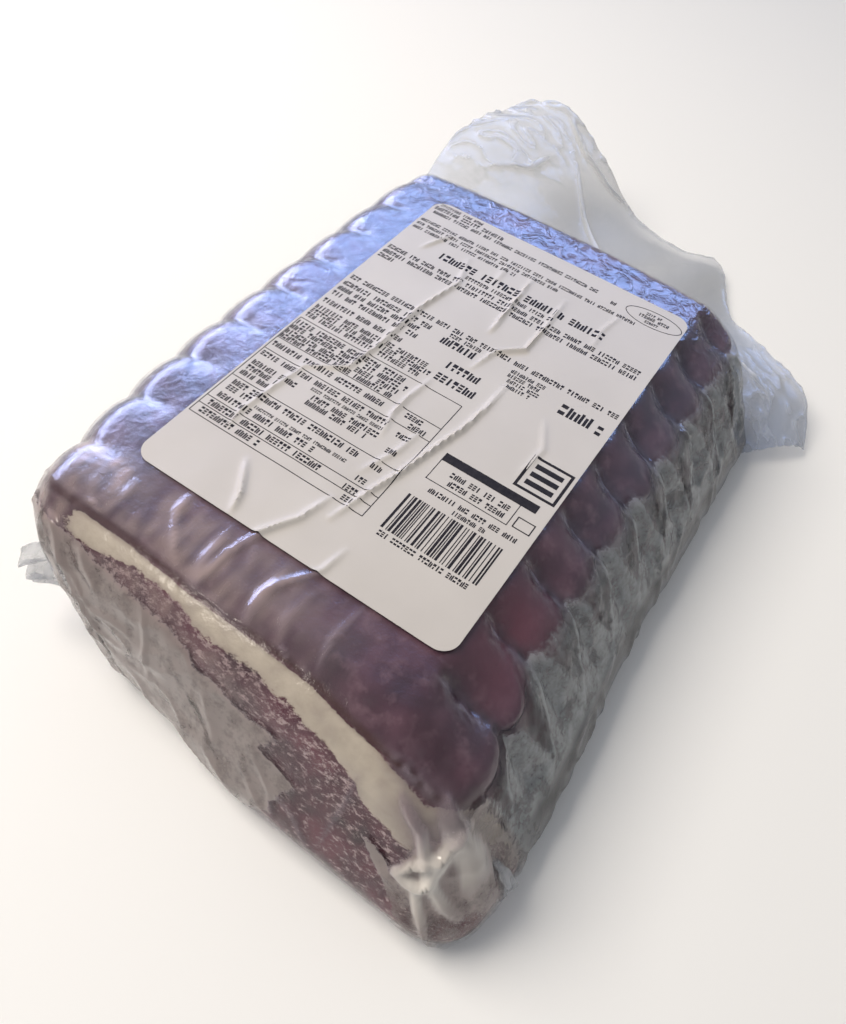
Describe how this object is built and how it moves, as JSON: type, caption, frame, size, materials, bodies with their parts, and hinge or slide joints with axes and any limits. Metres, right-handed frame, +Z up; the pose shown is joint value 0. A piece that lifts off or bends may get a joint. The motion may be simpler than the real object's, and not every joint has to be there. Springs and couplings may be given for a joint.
{
  "type": "vacuum-packed air-dried beef",
  "caption": "Half a pressed block of air-dried beef, sealed in a clear vacuum bag with spare film at one end and a plain paper label on top.",
  "frame": {"origin": "middle of the pack's flat underside", "axes": "+Z up; +Y along the block, from its cut end to the end with the bag's spare film; +X to the right, seen from the cut end"},
  "size_m": [0.1825, 0.3131, 0.0557],
  "materials": {
    "beef_in_film": "clear film shrunk over dark red-purple beef",
    "label_paper": "matt white thermal paper"
  },
  "bodies": {
    "root": {"vacuum_pack": "beef_in_film", "label": "label_paper"}
  },
  "joints": []
}
